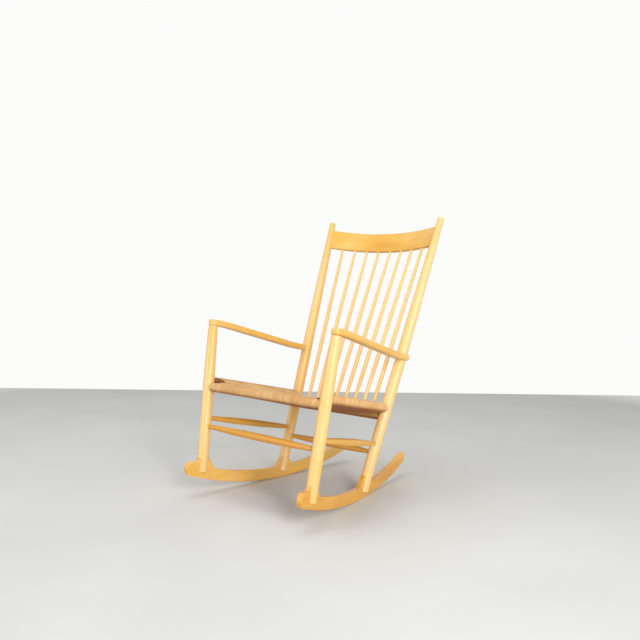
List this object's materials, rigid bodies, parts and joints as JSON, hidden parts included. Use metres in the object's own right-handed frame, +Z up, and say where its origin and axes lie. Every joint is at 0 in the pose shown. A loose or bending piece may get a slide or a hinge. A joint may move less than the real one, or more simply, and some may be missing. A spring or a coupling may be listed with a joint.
{
  "type": "rocking chair",
  "caption": "High-backed rocking chair: turned posts on curved runners, flat curved arms, a bowed crest over slim turned spindles, and a woven paper-cord seat.",
  "frame": {"origin": "centre of the chair's outer box in plan, on the floor that the runners roll on", "axes": "+X to the sitter's left, -Y to the front, +Z up, with the chair in the pose in which it balances on its runners"},
  "size_m": [0.629, 0.9464, 1.0801],
  "materials": {
    "oiled_wood": "satin",
    "paper_cord": "matte"
  },
  "bodies": {
    "root": {"left_runner": "oiled_wood", "right_runner": "oiled_wood", "left_front_leg": "oiled_wood", "right_front_leg": "oiled_wood", "left_back_post": "oiled_wood", "right_back_post": "oiled_wood", "left_arm": "oiled_wood", "right_arm": "oiled_wood", "arm_dowels": "oiled_wood", "crest_rail": "oiled_wood", "spindle_1": "oiled_wood", "spindle_2": "oiled_wood", "spindle_3": "oiled_wood", "spindle_4": "oiled_wood", "spindle_5": "oiled_wood", "spindle_6": "oiled_wood", "spindle_7": "oiled_wood", "spindle_8": "oiled_wood", "front_seat_rail": "oiled_wood", "rear_seat_rail": "oiled_wood", "left_seat_rail": "oiled_wood", "right_seat_rail": "oiled_wood", "front_stretcher": "oiled_wood", "rear_stretcher": "oiled_wood", "left_stretcher": "oiled_wood", "right_stretcher": "oiled_wood", "woven_seat": "paper_cord"}
  },
  "joints": []
}
